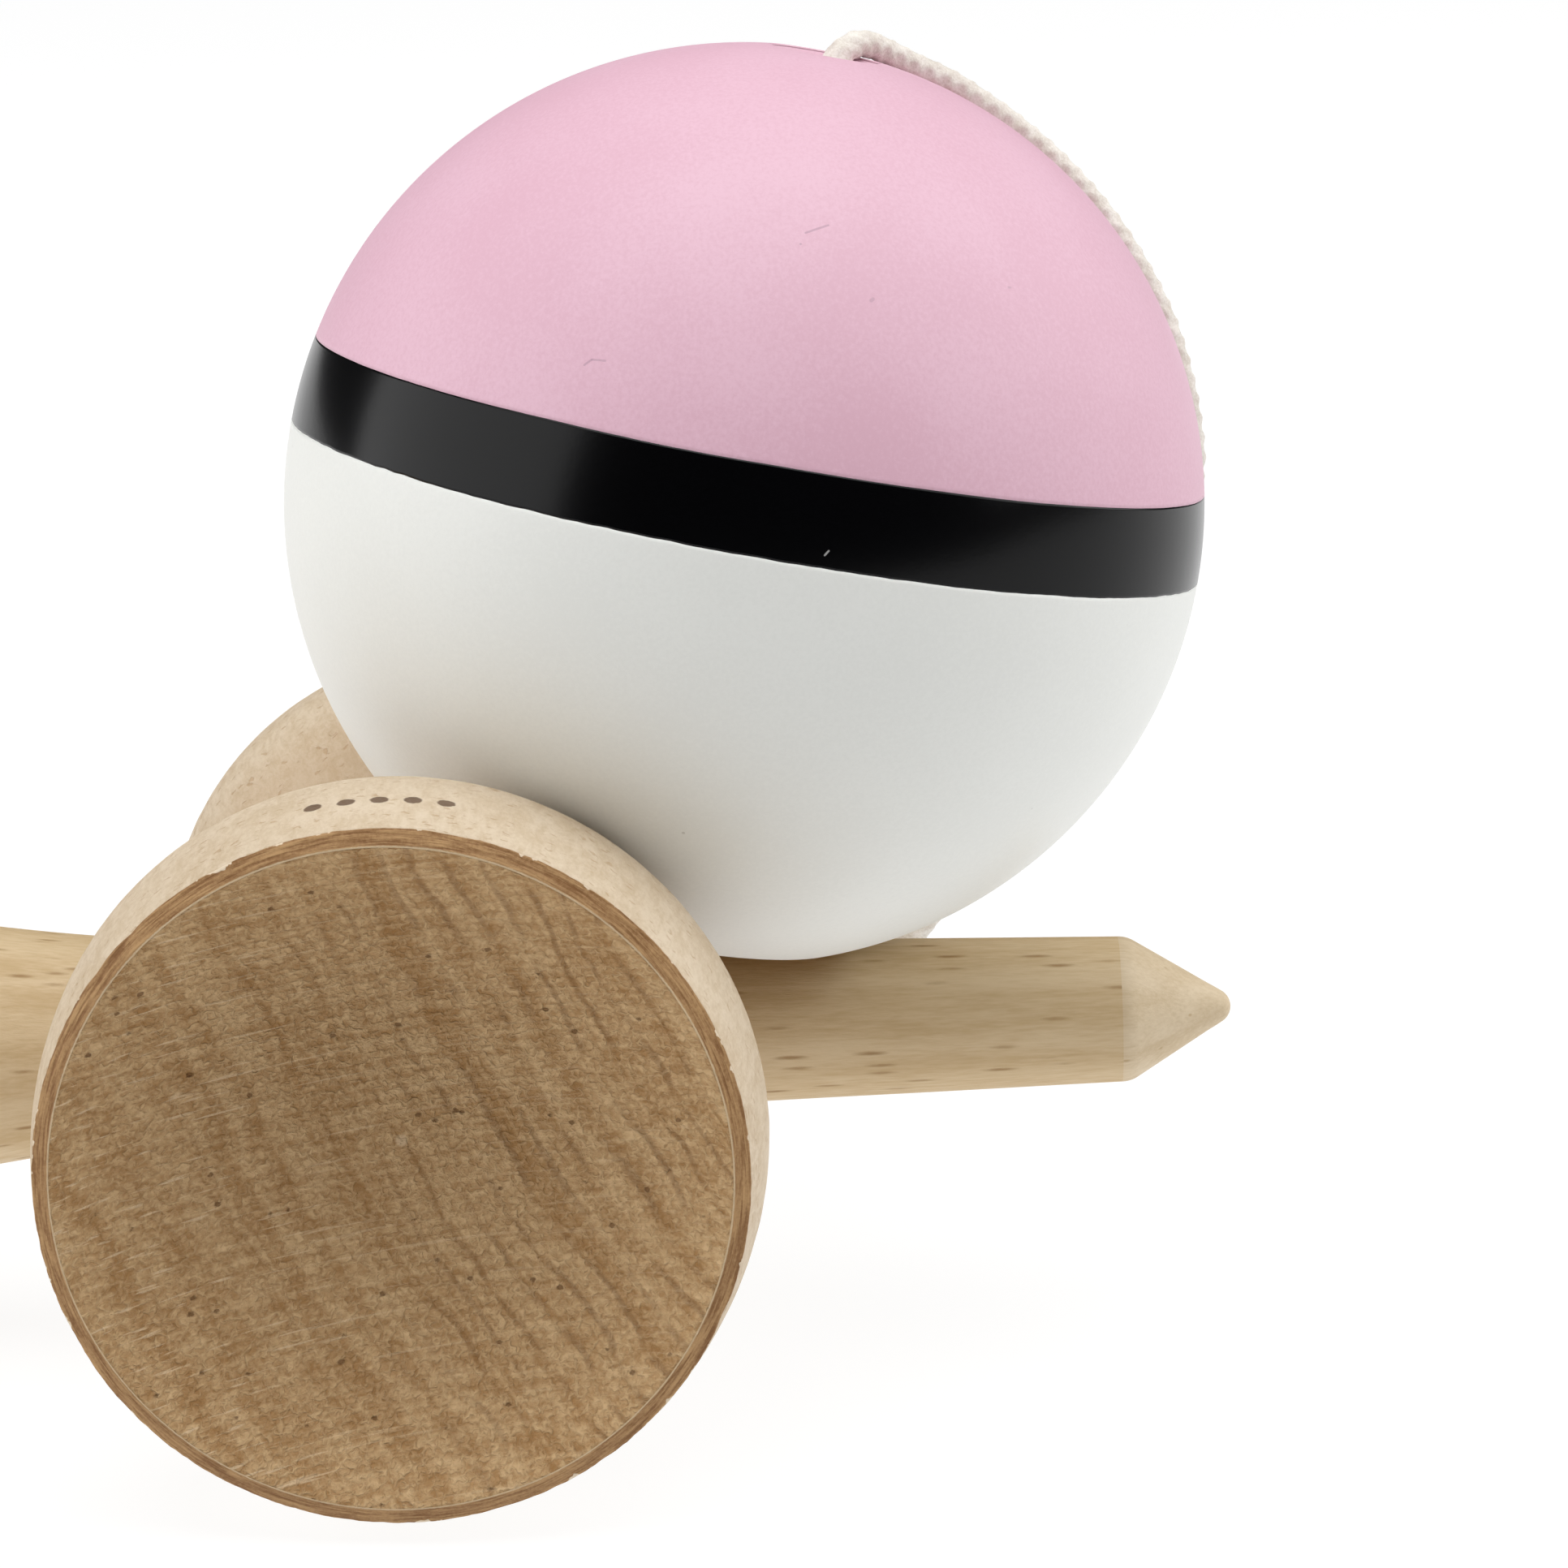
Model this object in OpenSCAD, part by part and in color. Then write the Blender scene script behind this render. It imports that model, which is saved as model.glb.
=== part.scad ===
// Kendama lying on its side: a turned handle with a spike and a base cup, a cross-piece with
// two cups, and a painted ball tied on by a cord. Millimetres, +Z up, X along the handle
// towards the spike, Y from the large cup towards the small cup. The floor is z = 0 and the
// origin is under the middle of the toy, cord left out.

/* [Handle] */
// From the handle and cross-piece crossing to the tip of the spike
spike_end = 53.4; // [48:0.2:58]
// Radius of the spike at its root
spike_root_r = 5.63; // [5.2:0.01:6]
// Radius of the spike at its shoulder
spike_shoulder_r = 4.86; // [4.4:0.01:5.2]
// Half angle of the cone at the end of the spike
spike_cone_angle = 31.6; // [25:0.2:40]
// Rounding at the shoulder of the spike
spike_shoulder_round = 2; // [1:0.1:3]
// Rounding at the tip of the spike
spike_tip_round = 1.2; // [0.8:0.1:2]
// Radius of the neck, just behind the cross-piece
neck_r = 6.6; // [6.3:0.05:7]
// Largest radius of the grip
grip_r = 10.2; // [9:0.1:11]
// From the crossing to the grip's largest radius
grip_x = 51; // [46:1:56]
// Radius of the waist between the grip and the base cup
waist_r = 7.3; // [6:0.1:8]
// From the crossing to that waist
waist_x = 98; // [90:1:104]

/* [Base cup] */
// From the crossing to the rim of the base cup
base_end = 128; // [124:1:134]
// Largest radius of the base cup
base_r = 17.3; // [16.5:0.1:18.5]
// Length of the rounded wall between the base cup's largest radius and its rim
base_wall = 6.5; // [5:0.5:8]
// Outer radius of the base cup's flat rim
base_rim_r = 16.4; // [15.8:0.1:16.8]
// Inner radius of the base cup's flat rim
base_lip_r = 15.2; // [14.5:0.1:15.5]
// Depth of the base cup
base_depth = 8; // [6:0.5:10]

/* [Cross-piece] */
// From the crossing to the face of each side cup
cup_face = 36.5; // [34:0.5:39]
// Largest radius of the large cup
large_r = 22.9; // [21.5:0.1:24]
// Outer radius of the large cup's bevelled rim
large_rim_r = 21.9; // [21:0.1:22.4]
// Radius of the large cup's lip, where its hollow starts
large_lip_r = 20.8; // [20:0.1:21]
// Depth of the large cup's hollow
large_depth = 9.5; // [8:0.5:11]
// Largest radius of the small cup
small_r = 20.05; // [19:0.05:21]
// Outer radius of the small cup's bevelled rim
small_rim_r = 19; // [18.4:0.1:19.4]
// Radius of the small cup's lip
small_lip_r = 18; // [17.4:0.1:18.3]
// Depth of the small cup's hollow
small_depth = 8; // [6.5:0.5:9.5]
// How far each lip stands in front of its rim's outer edge
lip_height = 0.55; // [0.3:0.05:0.8]
// Radius between the two cups
cross_waist_r = 10.6; // [10:0.1:11.5]

/* [Ball] */
// Radius of the painted ball
ball_r = 30; // [29:0.5:31]
// Thickness of the paint
paint = 0.15; // [0.1:0.05:0.3]
// Radius of the ball's large bore
bore_r = 7.5; // [6.5:0.1:8.5]
// Radius of the bore's mouth on the ball's surface
mouth_r = 11.5; // [10.5:0.1:12.5]
// Length of the bevel at the bore's mouth
bevel = 6; // [4:0.5:8]
// From the ball's centre to the bore's inner end
bore_end = 18; // [15:0.5:20]
// Upper edge of the painted band, in degrees above the equator
band_top = 11.9; // [8:0.1:15]
// Lower edge of the painted band, in degrees above the equator
band_bottom = 1.1; // [-3:0.1:4]
// Lean of the ball's axis to the right and to the back, in degrees
ball_lean = [10.3, 5.36];
// Centre of the ball from the floor point under the crossing
ball_pos = [21.05, 1.12, 57.14];

/* [Cord] */
// Diameter of the cord
cord_d = 1.8; // [1.6:0.1:2]
// Radius of the string holes
string_hole_r = 1.5; // [1.3:0.1:1.8]
// Radius of the bead
bead_r = 3.5; // [3:0.1:4.5]
// Length of the bead
bead_len = 5; // [4:0.5:6]
// Mean radius of the put-away coil
coil_r = 10.5; // [9.5:0.5:12]
// Radial width of the coil
coil_width = 6.8; // [5:0.2:8]
// Centre of the coil from the floor point under the crossing
coil_pos = [-6, 58];

/* [Hidden] */
$fn = 96;
eps = 0.01;

// Colours
beech = [0.76, 0.65, 0.49];
maple = [0.90, 0.81, 0.69];
cord_white = [0.90, 0.88, 0.83];

// Places along the handle
spike_root_x = 13;
neck_x = -13;
flare_x = -base_end + base_wall;
shaft_gap = 0.02;
knot_pocket_r = 2.8;
knot_pocket_z = 2;
knot_r = 2;

// Places along the cross-piece, as distances from the crossing
large_belly_y = 26.5;
large_flare_y = 12;
small_belly_y = 25.5;
small_flare_y = 7.5;

// How the toy lies: the large cup, the small cup and the base cup touch the floor at their
// largest radii, which leans the handle and the cross-piece by a few degrees. The walls are
// curved, which takes a little off the lean.
wall_curve = 0.06;
side_slope = (large_r - small_r) / (large_belly_y + small_belly_y);
end_slope = (large_r - side_slope * large_belly_y - base_r) / (base_end - base_wall);
side_tilt = wall_curve - atan(side_slope);
end_tilt = -atan(end_slope);
crossing_z = large_r - side_slope * large_belly_y;
// From the origin to the floor point under the crossing
origin_to_crossing = [37.56, 0.08, 0];

// Put-away coil and its tie
tie_thick = 0.4;
tie_width = 3;
tie_gap = 0.1;
tie_slack = 0.25;
tie_angle = 50;
twist_r = 0.7;
twist_len = 5;

// Countersink of the ball's string hole: it starts half its depth below the surface
countersink = 5.2;
countersink_depth = 3.2;

// Bead and knots, as heights along the ball's axis from its centre
bead_z = bore_end - 0.4 - bead_len;
bead_knot_z = bead_z - knot_r + 0.2;

// Cord routes, as points of the cord's centre line from the floor point under the crossing.
// drape_points: from the bead through the string hole and over the ball.
drape_points = [
    [23.2, 2.2, 68.8], [23.9, 2.6, 72.7], [24.5, 3.0, 76.3], [25.2, 3.3, 80.1], [25.7, 3.4, 83.3],
    [26.7, 4.4, 85.4], [27.8, 5.9, 86.4], [29.0, 7.5, 86.4], [30.5, 8.8, 85.6], [32.0, 9.8, 84.7],
    [34.5, 10.7, 83.4], [36.3, 11.1, 82.2], [38.5, 11.5, 80.6], [41.4, 11.6, 78.1],
    [44.3, 11.3, 75.0], [46.7, 10.8, 71.6], [48.7, 10.4, 67.8], [50.0, 10.0, 63.8],
    [50.7, 9.9, 60.0], [50.8, 10.0, 57.6]];
// fall_points: off the ball, down behind it and along the floor to the coil.
fall_points = [
    [50.8, 10.1, 57.4], [50.3, 11.2, 53.2], [49.2, 13.6, 49.0], [47.2, 17.0, 44.4],
    [44.2, 20.8, 39.0], [40.6, 25.2, 32.2], [36.2, 30.2, 24.0], [31.4, 35.4, 15.8],
    [26.4, 40.4, 8.8], [21.6, 44.6, 4.0], [17.0, 47.8, 1.6], [12.8, 50.4, 1.0], [9.2, 53.6, 1.1],
    [7.0, 57.4, 1.35]];
// lead_points: over the coil, along the floor and up through the cross-piece and the handle.
lead_points = [
    [-13.6, 58.0, 1.6], [-13.6, 55.2, 2.6], [-13.6, 52.2, 3.3], [-13.7, 49.2, 3.4],
    [-13.9, 46.4, 3.1], [-14.1, 43.0, 2.0], [-14.4, 38.6, 1.05], [-14.7, 31.0, 0.95],
    [-14.5, 25.0, 0.95], [-13.5, 18.6, 0.95], [-11.4, 12.6, 0.95], [-8.4, 7.4, 0.95],
    [-5.2, 3.4, 1.2], [-2.6, 0.9, 2.5], [-0.8, -0.3, 4.8], [0.2, -0.7, 7.6], [0.4, -0.6, 10.4],
    [0.3, -0.4, 14.0], [0.1, -0.2, 18.0], [0.0, 0.0, 21.4], [-0.1, 0.1, 23.3]];

// ---- Outlines --------------------------------------------------------------------------------

// Smooth step from 0 to 1, level at both ends
function ease(t) = (1 - cos(180 * t)) / 2;

// Points [radius, station] of a smooth stretch between two stations
function eased(from, to, n) =
    [for (i = [0:n]) let (t = i / n)
        [from[0] + (to[0] - from[0]) * ease(t), from[1] + (to[1] - from[1]) * t]];

// Points of a wall that leaves its largest radius level and closes in towards its rim
function rounded_wall(from, to, n) =
    [for (i = [1:n]) let (t = i / n)
        [to[0] + (from[0] - to[0]) * cos(90 * t), from[1] + (to[1] - from[1]) * t]];

// Points [radius, station] of a circular arc round a centre, angles measured from the axis
function arc(centre, r, a0, a1, n) =
    [for (i = [0:n]) let (a = a0 + (a1 - a0) * i / n)
        [centre[0] + r * sin(a), centre[1] + r * cos(a)]];

// Radius of the ball that a hollow of this lip radius and depth is a cap of
function cap_r(lip, depth) = (lip * lip + depth * depth) / (2 * depth);

// ---- Cord ------------------------------------------------------------------------------------

function unit(v) = v / norm(v);

// Point on the smooth curve through p1 and p2, with p0 and p3 as its neighbours
function through(p0, p1, p2, p3, t) =
    (2 * p1 + (p2 - p0) * t + (2 * p0 - 5 * p1 + 4 * p2 - p3) * t * t
        + (3 * p1 - p0 - 3 * p2 + p3) * t * t * t) / 2;

// The points with the end neighbours added, and then the curve with two steps for each point
function padded(p) = concat([2 * p[0] - p[1]], p, [2 * p[len(p) - 1] - p[len(p) - 2]]);
function smooth_path(q) =
    concat([for (i = [1:len(q) - 3], t = [0, 0.5]) through(q[i - 1], q[i], q[i + 1], q[i + 2], t)],
        [q[len(q) - 2]]);

function heading(p, i) = unit(p[min(i + 1, len(p) - 1)] - p[max(i - 1, 0)]);

// One vector square to the path at each of its points, carried along without twist
function side_vectors(p, i, last) =
    i == len(p) ? [] :
    let (h = heading(p, i), s = unit(last - (last * h) * h))
    concat([s], side_vectors(p, i + 1, s));

module tube(points, d) {
    sides = 8;
    path = smooth_path(padded(points));
    side = side_vectors(path, 0, [0.3, 1, 0.2]);
    rings = [for (i = [0:len(path) - 1], k = [0:sides - 1])
        let (h = heading(path, i), a = 360 * k / sides)
        path[i] + d / 2 * (cos(a) * side[i] + sin(a) * cross(h, side[i]))];
    walls = [for (i = [0:len(path) - 2], k = [0:sides - 1])
        let (a = i * sides + k, b = i * sides + (k + 1) % sides)
        [a, a + sides, b + sides, b]];
    start = [for (k = [0:sides - 1]) k];
    end = [for (k = [0:sides - 1]) len(path) * sides - 1 - k];
    polyhedron(rings, concat(walls, [start], [end]), convexity = 10);
}

// ---- Places ----------------------------------------------------------------------------------

module on_floor() {
    translate(origin_to_crossing)
        children();
}

module lying() {
    on_floor()
        translate([0, 0, crossing_z])
            rotate([side_tilt, end_tilt, 0])
                children();
}

// Stations run along the handle, towards the spike
module along_handle() {
    rotate([0, 90, 0])
        children();
}

// Stations run along the cross-piece, towards the small cup
module along_cross() {
    rotate([-90, 0, 0])
        children();
}

// Stations run along the ball's axis, towards its string hole
module on_ball() {
    on_floor()
        translate(ball_pos)
            rotate([-ball_lean[1], ball_lean[0], 0])
                children();
}

// ---- Handle and cross-piece ------------------------------------------------------------------

module handle_solid() {
    normal = 90 - spike_cone_angle;
    tip_x = spike_end - spike_tip_round;
    shoulder_x = tip_x - ((spike_shoulder_r - spike_shoulder_round) * sin(normal)
        + spike_shoulder_round - spike_tip_round) / cos(normal);
    shoulder = [spike_shoulder_r - spike_shoulder_round, shoulder_x];
    cap = cap_r(base_lip_r, base_depth);
    cap_half = asin(base_lip_r / cap);
    outline = concat(
        arc([0, tip_x], spike_tip_round, 0, normal, 6),
        arc(shoulder, spike_shoulder_round, normal, 90, 6),
        [[spike_root_r, spike_root_x]],
        eased([neck_r, neck_x], [grip_r, -grip_x], 14),
        eased([grip_r, -grip_x], [waist_r, -waist_x], 16),
        eased([waist_r, -waist_x], [base_r, flare_x], 14),
        rounded_wall([base_r, flare_x], [base_rim_r, -base_end], 6),
        arc([0, -base_end + base_depth - cap], cap, cap_half, 0, 12));
    along_handle()
        rotate_extrude()
            polygon(outline);
}

module ken() {
    color(beech)
    lying()
        difference() {
            handle_solid();
            cylinder(h = 30, r = string_hole_r, center = true);
            translate([0, 0, knot_pocket_z])
                cylinder(h = 10, r = knot_pocket_r);
        }
}

module cross_solid() {
    large_cap = cap_r(large_lip_r, large_depth);
    large_half = asin(large_lip_r / large_cap);
    small_cap = cap_r(small_lip_r, small_depth);
    small_half = asin(small_lip_r / small_cap);
    lip_y = cup_face + lip_height;
    outline = concat(
        arc([0, -lip_y + large_depth - large_cap], large_cap, 0, large_half, 12),
        [for (i = [6:-1:1]) let (t = i / 6)
            [large_rim_r + (large_r - large_rim_r) * cos(90 * t),
                -large_belly_y - (cup_face - large_belly_y) * t]],
        eased([large_r, -large_belly_y], [cross_waist_r, -large_flare_y], 14),
        eased([cross_waist_r, small_flare_y], [small_r, small_belly_y], 14),
        rounded_wall([small_r, small_belly_y], [small_rim_r, cup_face], 6),
        arc([0, lip_y - small_depth + small_cap], small_cap, 180 - small_half, 180, 12));
    along_cross()
        rotate_extrude()
            polygon(outline);
}

module sarado() {
    slope = (neck_r - spike_root_r) / (spike_root_x - neck_x);
    reach = 2 * cross_waist_r;
    middle = (neck_r + spike_root_r) / 2 + shaft_gap;
    color(maple)
    lying()
        difference() {
            cross_solid();
            along_handle()
                cylinder(h = 2 * reach, r1 = middle + slope * reach, r2 = middle - slope * reach,
                    center = true);
            translate([0, 0, -2 * cross_waist_r])
                cylinder(h = 2 * cross_waist_r, r = string_hole_r);
        }
}

module ken_knot() {
    color(cord_white)
    lying()
        translate([0, 0, knot_pocket_z + knot_r])
            sphere(r = knot_r);
}

// ---- Ball ------------------------------------------------------------------------------------

// The large bore with its bevelled mouth below, and the string hole with its countersink above
module ball_holes() {
    mouth_z = sqrt(ball_r * ball_r - mouth_r * mouth_r);
    translate([0, 0, -ball_r])
        cylinder(h = ball_r + bore_end, r = bore_r);
    translate([0, 0, -mouth_z - bevel / 2])
        cylinder(h = 1.5 * bevel, r1 = mouth_r + (mouth_r - bore_r) / 2, r2 = bore_r);
    cylinder(h = 2 * ball_r, r = string_hole_r);
    translate([0, 0, ball_r - countersink_depth / 2])
        cylinder(h = countersink_depth, r1 = string_hole_r, r2 = string_hole_r + countersink);
}

module tama() {
    color([0.86, 0.75, 0.58])
    on_ball()
        difference() {
            sphere(r = ball_r - paint);
            ball_holes();
        }
}

// The part of the paint between two heights along the ball's axis
module coat(low, high) {
    on_ball()
        difference() {
            intersection() {
                sphere(r = ball_r);
                translate([-2 * ball_r, -2 * ball_r, low])
                    cube([4 * ball_r, 4 * ball_r, high - low]);
            }
            sphere(r = ball_r - paint);
            ball_holes();
        }
}

module coat_upper() {
    color([0.92, 0.79, 0.85])
        coat(ball_r * sin(band_top), 2 * ball_r);
}

module coat_stripe() {
    color([0.05, 0.05, 0.06])
        coat(ball_r * sin(band_bottom), ball_r * sin(band_top));
}

module coat_lower() {
    color([0.92, 0.92, 0.91])
        coat(-2 * ball_r, ball_r * sin(band_bottom));
}

module bead() {
    color([0.93, 0.86, 0.72])
    on_ball()
        translate([0, 0, bead_z])
            difference() {
                cylinder(h = bead_len, r = bead_r);
                translate([0, 0, -eps])
                    cylinder(h = bead_len + 2 * eps, r = cord_d / 2 + 0.1);
            }
}

module bead_knot() {
    color(cord_white)
    on_ball()
        translate([0, 0, bead_knot_z])
            sphere(r = knot_r);
}

// ---- Cord nodes ------------------------------------------------------------------------------

module string_drape() {
    color(cord_white)
        on_floor()
            tube(drape_points, cord_d);
}

module string_fall() {
    color(cord_white)
        on_floor()
            tube(fall_points, cord_d);
}

module string_lead() {
    color(cord_white)
        on_floor()
            tube(lead_points, cord_d);
}

module string_coil() {
    low = tie_thick + tie_gap / 2;
    color(cord_white)
    on_floor()
        translate([coil_pos[0], coil_pos[1], low])
            rotate_extrude()
                translate([coil_r - coil_width / 2, 0])
                    square([coil_width, cord_d]);
}

// A flat band round the coil's turns, with its twisted ends lying outwards
module string_tie() {
    inner = [coil_width + 2 * tie_slack, tie_width + 2 * eps, cord_d + tie_gap];
    outer = [inner[0] + 2 * tie_thick, tie_width, inner[2] + 2 * tie_thick];
    color([0.85, 0.85, 0.83])
    on_floor()
        translate([coil_pos[0], coil_pos[1], outer[2] / 2])
            rotate([0, 0, tie_angle])
                translate([coil_r, 0, 0]) {
                    difference() {
                        cube(outer, center = true);
                        cube(inner, center = true);
                    }
                    translate([outer[0] / 2 - tie_thick / 2, 0, 0])
                        rotate([0, 90, 0])
                            cylinder(h = twist_len, r = twist_r);
                }
}

ken();
sarado();
tama();
coat_upper();
coat_stripe();
coat_lower();
bead();
bead_knot();
string_drape();
string_fall();
string_coil();
string_lead();
string_tie();
ken_knot();
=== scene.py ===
"""A kendama lying on its side: handle with spike and base cup, cross-piece with two cups, and a
painted ball on a braided cord. Lengths are millimetres in the row frame unless a name says so."""
import math

import bmesh
import bpy
import numpy as np
from mathutils import Matrix, Vector, noise


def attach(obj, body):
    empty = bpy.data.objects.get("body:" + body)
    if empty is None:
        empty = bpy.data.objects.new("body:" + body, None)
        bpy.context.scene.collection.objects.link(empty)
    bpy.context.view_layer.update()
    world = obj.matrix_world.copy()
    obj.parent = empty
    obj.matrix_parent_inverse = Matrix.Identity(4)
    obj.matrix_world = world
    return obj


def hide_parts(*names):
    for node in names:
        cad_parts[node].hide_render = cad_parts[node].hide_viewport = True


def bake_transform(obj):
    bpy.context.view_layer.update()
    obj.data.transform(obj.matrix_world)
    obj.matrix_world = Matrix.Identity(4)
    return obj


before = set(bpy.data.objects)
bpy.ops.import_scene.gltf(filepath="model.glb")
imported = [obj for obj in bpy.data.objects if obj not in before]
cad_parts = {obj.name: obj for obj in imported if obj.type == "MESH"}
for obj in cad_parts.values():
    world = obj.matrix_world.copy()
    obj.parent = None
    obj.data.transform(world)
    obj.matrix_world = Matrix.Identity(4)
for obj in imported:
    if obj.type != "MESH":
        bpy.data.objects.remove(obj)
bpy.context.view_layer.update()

MM = 0.001

# ---- Sizes, as in the part's source ----

CROSSING = Vector((37.56, 0.08, 0.0))  # from the origin to the floor point under the crossing

SPIKE_END, SPIKE_ROOT_R, SPIKE_SHOULDER_R = 53.4, 5.63, 4.86
CONE_ANGLE, SHOULDER_ROUND, TIP_ROUND = 31.6, 2.0, 1.2
SPIKE_ROOT_X, NECK_X, NECK_R = 13.0, -13.0, 6.6
GRIP_X, GRIP_R, WAIST_X, WAIST_R = -51.0, 10.2, -98.0, 7.3
BASE_END, BASE_R, BASE_WALL = 128.0, 17.3, 6.5
BASE_RIM_R, BASE_LIP_R, BASE_DEPTH = 16.4, 15.2, 8.0

CUP_FACE, LIP_HEIGHT, CROSS_WAIST_R = 36.5, 0.55, 10.6
LARGE_R, LARGE_RIM_R, LARGE_LIP_R, LARGE_DEPTH = 22.9, 21.9, 20.8, 9.5
LARGE_BELLY, LARGE_FLARE = 26.5, 12.0
SMALL_R, SMALL_RIM_R, SMALL_LIP_R, SMALL_DEPTH = 20.05, 19.0, 18.0, 8.0
SMALL_BELLY, SMALL_FLARE = 25.5, 7.5
SHAFT_GAP, KNOT_POCKET_R, KNOT_POCKET_Z = 0.02, 2.8, 2.0

BALL_R, PAINT, BORE_R, MOUTH_R, BEVEL, BORE_END = 30.0, 0.15, 7.5, 11.5, 6.0, 18.0
BAND_TOP, BAND_BOTTOM = 11.9, 1.1
BALL_LEAN = (10.3, 5.36)
BALL_POS = Vector((21.05, 1.12, 57.14))
COUNTERSINK, COUNTERSINK_DEPTH = 5.2, 3.2

CORD_D, HOLE_R = 1.8, 1.5
BEAD_R, BEAD_LEN, KNOT_R = 3.5, 5.0, 2.0
COIL_CENTRE, COIL_OUTER, COIL_INNER, COIL_Z, COIL_TURNS = (-6.0, 58.0), 13.0, 7.6, 1.35, 2.5
COIL_R, COIL_WIDTH = 10.5, 6.8
TIE_THICK, TIE_WIDTH, TIE_GAP, TIE_SLACK, TIE_ANGLE = 0.4, 3.0, 0.1, 0.25, 50.0

# The toy rests on the large, small and base cups, which leans it a little.
WALL_CURVE = math.radians(0.06)
SIDE_SLOPE = (LARGE_R - SMALL_R) / (LARGE_BELLY + SMALL_BELLY)
CROSSING_Z = LARGE_R - SIDE_SLOPE * LARGE_BELLY
END_SLOPE = (CROSSING_Z - BASE_R) / (BASE_END - BASE_WALL)
SIDE_TILT = WALL_CURVE - math.atan(SIDE_SLOPE)
END_TILT = -math.atan(END_SLOPE)


def place(offset, *turns):
    """A placement in metres: an offset in millimetres, then turns as (angle, axis) from outside in."""
    matrix = Matrix.Translation(offset * MM)
    for angle, axis in turns:
        matrix = matrix @ Matrix.Rotation(angle, 4, axis)
    return matrix


LYING = place(CROSSING + Vector((0, 0, CROSSING_Z)), (END_TILT, "Y"), (SIDE_TILT, "X"))
ALONG_HANDLE = LYING @ Matrix.Rotation(math.pi / 2, 4, "Y")
ALONG_CROSS = LYING @ Matrix.Rotation(-math.pi / 2, 4, "X")
ON_BALL = place(
    CROSSING + BALL_POS,
    (math.radians(BALL_LEAN[0]), "Y"),
    (math.radians(-BALL_LEAN[1]), "X"),
)

# ---- Camera ----

CAMERA_AT = Vector((25.36, -378.65, 140.25))  # from the floor point under the crossing
CAMERA_PITCH = math.radians(90 - 15.037)
CAMERA_TURN = math.radians(0.262)
CAMERA_ROLL = math.radians(-0.03)
FOCAL_MM, SENSOR_MM = 136.4, 36.0


def make_camera():
    data = bpy.data.cameras.new("camera")
    data.lens = FOCAL_MM
    data.sensor_width = SENSOR_MM
    data.clip_start = 0.01
    data.clip_end = 20
    camera = bpy.data.objects.new("camera", data)
    bpy.context.scene.collection.objects.link(camera)
    camera.matrix_world = place(
        CROSSING + CAMERA_AT, (CAMERA_TURN, "Z"), (CAMERA_PITCH, "X"), (CAMERA_ROLL, "Z")
    )
    bpy.context.scene.camera = camera


make_camera()

# ---- Mesh building ----


def add_mesh(name, points_mm, faces, placement=None, materials=(), face_material=None, smooth=True):
    """A mesh object from points in millimetres. face_material holds one index for each face."""
    mesh = bpy.data.meshes.new(name)
    mesh.from_pydata((np.asarray(points_mm, float) * MM).tolist(), [], faces)
    mesh.validate()
    for material in materials:
        mesh.materials.append(material)
    if face_material is not None:
        mesh.polygons.foreach_set("material_index", np.asarray(face_material, np.int32))
    mesh.polygons.foreach_set("use_smooth", np.full(len(mesh.polygons), smooth))
    mesh.update()
    piece = bpy.data.objects.new(name, mesh)
    bpy.context.scene.collection.objects.link(piece)
    if placement is not None:
        piece.matrix_world = placement
    return piece


def ease(t):
    """Smooth step from 0 to 1, level at both ends."""
    return (1 - math.cos(math.pi * t)) / 2


def eased(start, end, steps, tag):
    """Points of a smooth stretch between two (radius, station) points."""
    shares = [(i + 1) / steps for i in range(steps)]
    return [
        (start[0] + (end[0] - start[0]) * ease(t), start[1] + (end[1] - start[1]) * t, tag)
        for t in shares
    ]


def straight(start, end, steps, tag):
    """Points of a straight stretch, its start left out."""
    shares = [(i + 1) / steps for i in range(steps)]
    return [
        (start[0] + (end[0] - start[0]) * t, start[1] + (end[1] - start[1]) * t, tag)
        for t in shares
    ]


def rounded_wall(belly, rim, steps, tag):
    """Points from a cup's largest radius to its rim, its start left out."""
    bulge, length = belly[0] - rim[0], rim[1] - belly[1]
    shares = [(i + 1) / steps for i in range(steps)]
    return [(rim[0] + bulge * math.cos(math.pi / 2 * t), belly[1] + length * t, tag) for t in shares]


def arc(centre, radius, start, end, steps, tag):
    """Points of a round stretch, angles in degrees from the axis, both ends kept."""
    angles = [math.radians(start + (end - start) * i / steps) for i in range(steps + 1)]
    return [(centre[0] + radius * math.sin(a), centre[1] + radius * math.cos(a), tag) for a in angles]


def cap_radius(lip, depth):
    """Radius of the ball that a hollow of this lip radius and depth is a cap of."""
    return (lip * lip + depth * depth) / (2 * depth)


def hollow(lip, depth, lip_station, way, steps, tag, from_middle):
    """A cup's hollow, from its lip to its middle, or from its middle to its lip. way is the side of
    the crossing that it opens to."""
    radius = cap_radius(lip, depth)
    half = math.degrees(math.asin(lip / radius))
    middle = lip_station - way * depth + way * radius
    points = [(p[0], middle - way * p[1], tag) for p in arc((0, 0), radius, half, 0, steps, tag)]
    return points[::-1] if from_middle else points


def wobble(seed, size, *point):
    """Smooth noise from -1 to 1 with features about as large as size."""
    return noise.noise(Vector([c / size for c in point]) + Vector((seed * 17.3, seed * 5.1, seed * 9.7)))


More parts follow.
